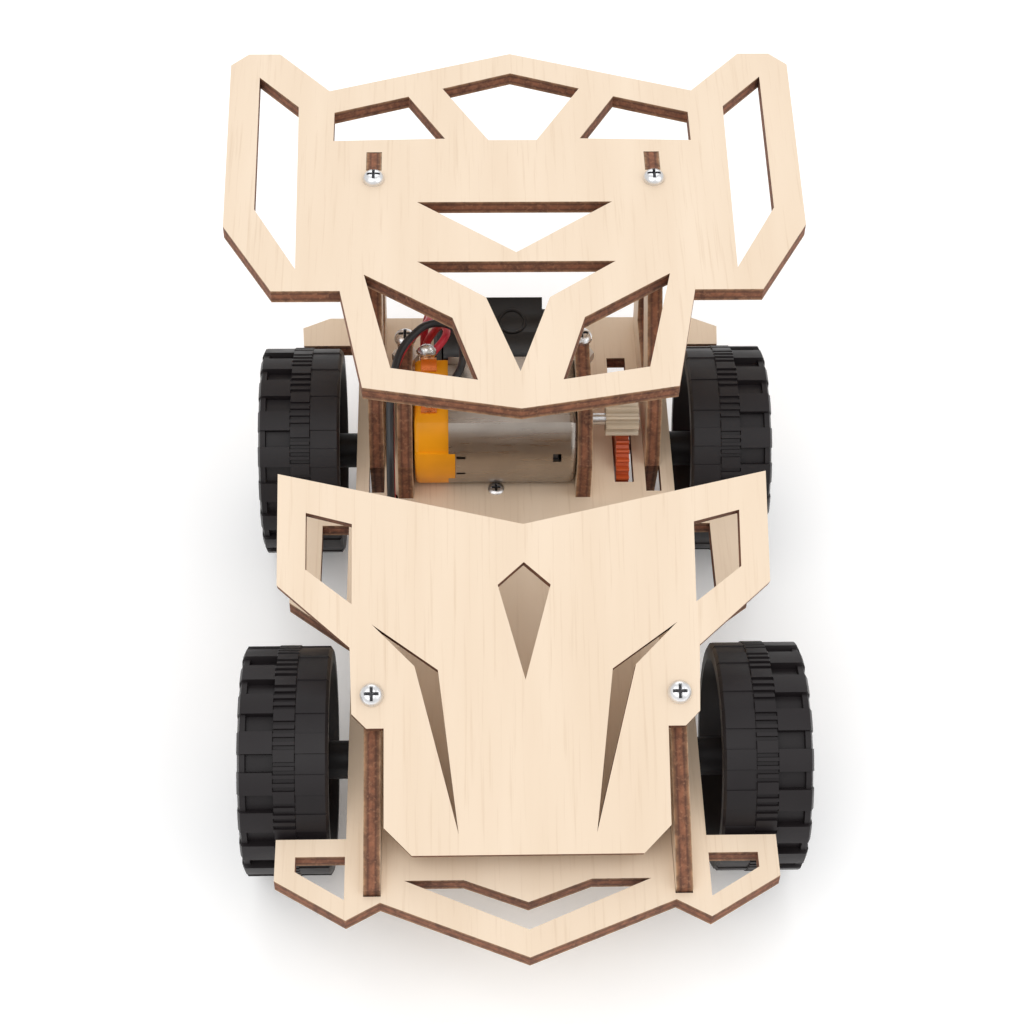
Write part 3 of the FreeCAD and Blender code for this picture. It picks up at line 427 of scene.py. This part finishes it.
terminal_low, terminal_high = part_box("motor_terminals")
terminal_x = (terminal_low.x + terminal_high.x) / 2
blob("rear_solder", (terminal_x - 0.3 * MM, terminal_high.y + 0.7 * MM, terminal_high.z + 0.1 * MM),
     (1.7, 1.2, 1.4), solder, "chassis", 3)
blob("front_solder", (terminal_x, terminal_low.y + 1.0 * MM, terminal_low.z + 1.2 * MM),
     (0.9, 0.7, 0.6), solder, "chassis", 5)


# --------------------------------------------------- painted shade in the screws' recesses
BAR_HALF_WIDTH = 0.21 * MM
SHADE_THICKNESS = 0.04 * MM
SHADE_LIFT = 0.02 * MM      # clear of the recess's floor
# Painted shade: a dark grey colour for the crosses that stand in for the shadow inside the screws' cross
# recesses.
painted_recess_shade = metal("recess_shade", (0.07, 0.07, 0.075), 0.5, (900, 900, 900), 0.01)


def head_spots(node, normal):
    """(centre, height of the top) of each of a node's two screws, one left and one right."""
    across = Vector((1, 0, 0))
    upward = Vector(normal)
    forward = upward.cross(across)
    points = [nodes[node].matrix_world @ vertex.co for vertex in nodes[node].data.vertices]
    for sign in (-1, 1):
        mine = [point for point in points if point.x * sign > 0]
        top = max(point.dot(upward) for point in mine)
        middle = [(min(point.dot(way) for point in mine) + max(point.dot(way) for point in mine)) / 2
                  for way in (across, forward)]
        yield across * middle[0] + forward * middle[1], top


def shade_recesses(node, normal, reach, depth):
    """A dark cross on the floor of each screw's recess: painted shade that stands in for the shadow
    inside the cross recess.
    """
    half = BAR_HALF_WIDTH
    upward = Vector(normal)
    across = Vector((1, 0, 0))
    forward = upward.cross(across)
    corners = [(reach, -half), (reach, half), (half, half), (half, reach), (-half, reach), (-half, half),
               (-reach, half), (-reach, -half), (-half, -half), (-half, -reach), (half, -reach),
               (half, -half)]
    count = len(corners)
    for number, (centre, top) in enumerate(head_spots(node, normal)):
        vertices = []
        lowest = top - depth + SHADE_LIFT
        for level in (lowest, lowest + SHADE_THICKNESS):
            vertices += [centre + upward * level + across * a + forward * b for a, b in corners]
        faces = [tuple(reversed(range(count))), tuple(range(count, 2 * count))]
        faces += [(k, (k + 1) % count, count + (k + 1) % count, count + k) for k in range(count)]
        # Each cross is a thin sheet of painted shade laid just above the recess's floor.
        piece(f"{node}_recess_{number}", vertices, faces, painted_recess_shade, "chassis", smooth=0)


for node, normal in (("hood_screws", hood_normal), ("spoiler_screws", UP), ("motor_plate_screws", UP)):
    shade_recesses(node, normal, 1.06 * MM, 0.80 * MM)
shade_recesses("battery_box_screws", UP, 0.78 * MM, 0.30 * MM)


# ------------------------------------------------------------ ring on the rocker
joints = {joint["name"]: joint for joint in record["behaviour"]["joints"]}
rocker_pivot = Vector(joints["switch_rock"]["pos_m"])
ROCKER_TILT = 12.0          # degrees at rest, half of the rocker's travel
rocker_turn = Matrix.Rotation(math.radians(ROCKER_TILT), 4, "X")


def scoop_height(y):
    """Height of the rocker's curved top over its pivot, in millimetres."""
    return 3.5 - 0.27 * abs(y) + 0.0806 * y * y


def on_rocker(x, y, rise):
    return rocker_pivot + rocker_turn @ (Vector((x, y, scoop_height(y) + rise)) * MM)


def rocker_ring(name, x, y, radius, thickness):
    """A moulded ring that follows the rocker's curve."""
    around, about = 40, 10
    vertices, faces = [], []
    for step in range(around):
        angle = 2 * math.pi * step / around
        for turn in range(about):
            small = 2 * math.pi * turn / about
            reach = radius + thickness * math.cos(small)
            vertices.append(on_rocker(x + reach * math.cos(angle), y + reach * math.sin(angle),
                                      thickness * math.sin(small)))
    for step in range(around):
        for turn in range(about):
            a = step * about + turn
            b = step * about + (turn + 1) % about
            c = ((step + 1) % around) * about + (turn + 1) % about
            d = ((step + 1) % around) * about + turn
            faces.append((a, d, c, b))
    return piece(name, vertices, faces, black_switch, "rocker", smooth=80)


rocker_ring("off_ring", 3.4, 2.1, 2.25, 0.28)


# ------------------------------------------------------------- floor and lights
floor_mesh = bpy.data.meshes.new("floor")
FLOOR_HALF = 3
floor_mesh.from_pydata([
    (-FLOOR_HALF, -FLOOR_HALF, 0), (FLOOR_HALF, -FLOOR_HALF, 0),
    (FLOOR_HALF, FLOOR_HALF, 0), (-FLOOR_HALF, FLOOR_HALF, 0),
], [], [(0, 1, 2, 3)])
floor = bpy.data.objects.new("floor", floor_mesh)
bpy.context.scene.collection.objects.link(floor)
floor_surface = Surface("pale_floor", (0.97, 0.97, 0.97), 0.9)
floor_surface.set("Emission Color", (1.0, 1.0, 1.0, 1.0))
floor_surface.set("Emission Strength", 0.10)
floor_mesh.materials.append(floor_surface.material)

world = bpy.data.worlds.new("studio")
bpy.context.scene.world = world
world.use_nodes = True
background = world.node_tree.nodes["Background"]
background.inputs["Color"].default_value = (1.0, 1.0, 1.0, 1.0)
background.inputs["Strength"].default_value = 0.82


def softbox(name, position, aim, width, power):
    light = bpy.data.lights.new(name, "AREA")
    light.shape = "SQUARE"
    light.size = width
    light.energy = power
    lamp = bpy.data.objects.new(name, light)
    bpy.context.scene.collection.objects.link(lamp)
    lamp.location = position
    direction = Vector(aim) - Vector(position)
    lamp.rotation_mode = "QUATERNION"
    lamp.rotation_quaternion = direction.to_track_quat("-Z", "Y")


softbox("key", (-0.30, -0.35, 0.75), (0, 0, 0.02), 0.7, 2.2)
softbox("fill", (0.55, -0.25, 0.55), (0, 0, 0.02), 0.7, 1.4)
softbox("back", (0.0, 0.65, 0.60), (0, 0, 0.03), 0.6, 1.1)

# ---------------------------------------------------------------------- camera
FRONT_AXLE_Y = -41.25
CAMERA_ELEVATION = math.radians(50.614)
CAMERA_YAW = math.radians(2.488)
CAMERA_ROLL = math.radians(1.487)
CAMERA_FROM_FRONT_AXLE = (-10.9, -189.365, 309.806)     # in millimetres
SENSOR_WIDTH, FOCAL_LENGTH = 36.0, 77.34                # the focal length was chosen
camera_data = bpy.data.cameras.new("camera")
camera = bpy.data.objects.new("camera", camera_data)
bpy.context.scene.collection.objects.link(camera)
bpy.context.scene.camera = camera
camera_data.sensor_width = SENSOR_WIDTH
camera_data.lens = FOCAL_LENGTH
camera_data.dof.use_dof = False
forward = Vector((math.sin(CAMERA_YAW) * math.cos(CAMERA_ELEVATION),
                  math.cos(CAMERA_YAW) * math.cos(CAMERA_ELEVATION), -math.sin(CAMERA_ELEVATION)))
level = Vector((math.cos(CAMERA_YAW), -math.sin(CAMERA_YAW), 0))
upward = level.cross(forward)
right = math.cos(CAMERA_ROLL) * level + math.sin(CAMERA_ROLL) * upward
top = -math.sin(CAMERA_ROLL) * level + math.cos(CAMERA_ROLL) * upward
turned = Matrix((right, top, -forward)).transposed()
position = (Vector(CAMERA_FROM_FRONT_AXLE) + Vector((0, FRONT_AXLE_Y, 0))) * MM
camera.matrix_world = Matrix.Translation(position) @ turned.to_4x4()
camera_data.clip_start = 0.01
camera_data.clip_end = 20.0

bpy.context.scene.view_settings.view_transform = "Standard"
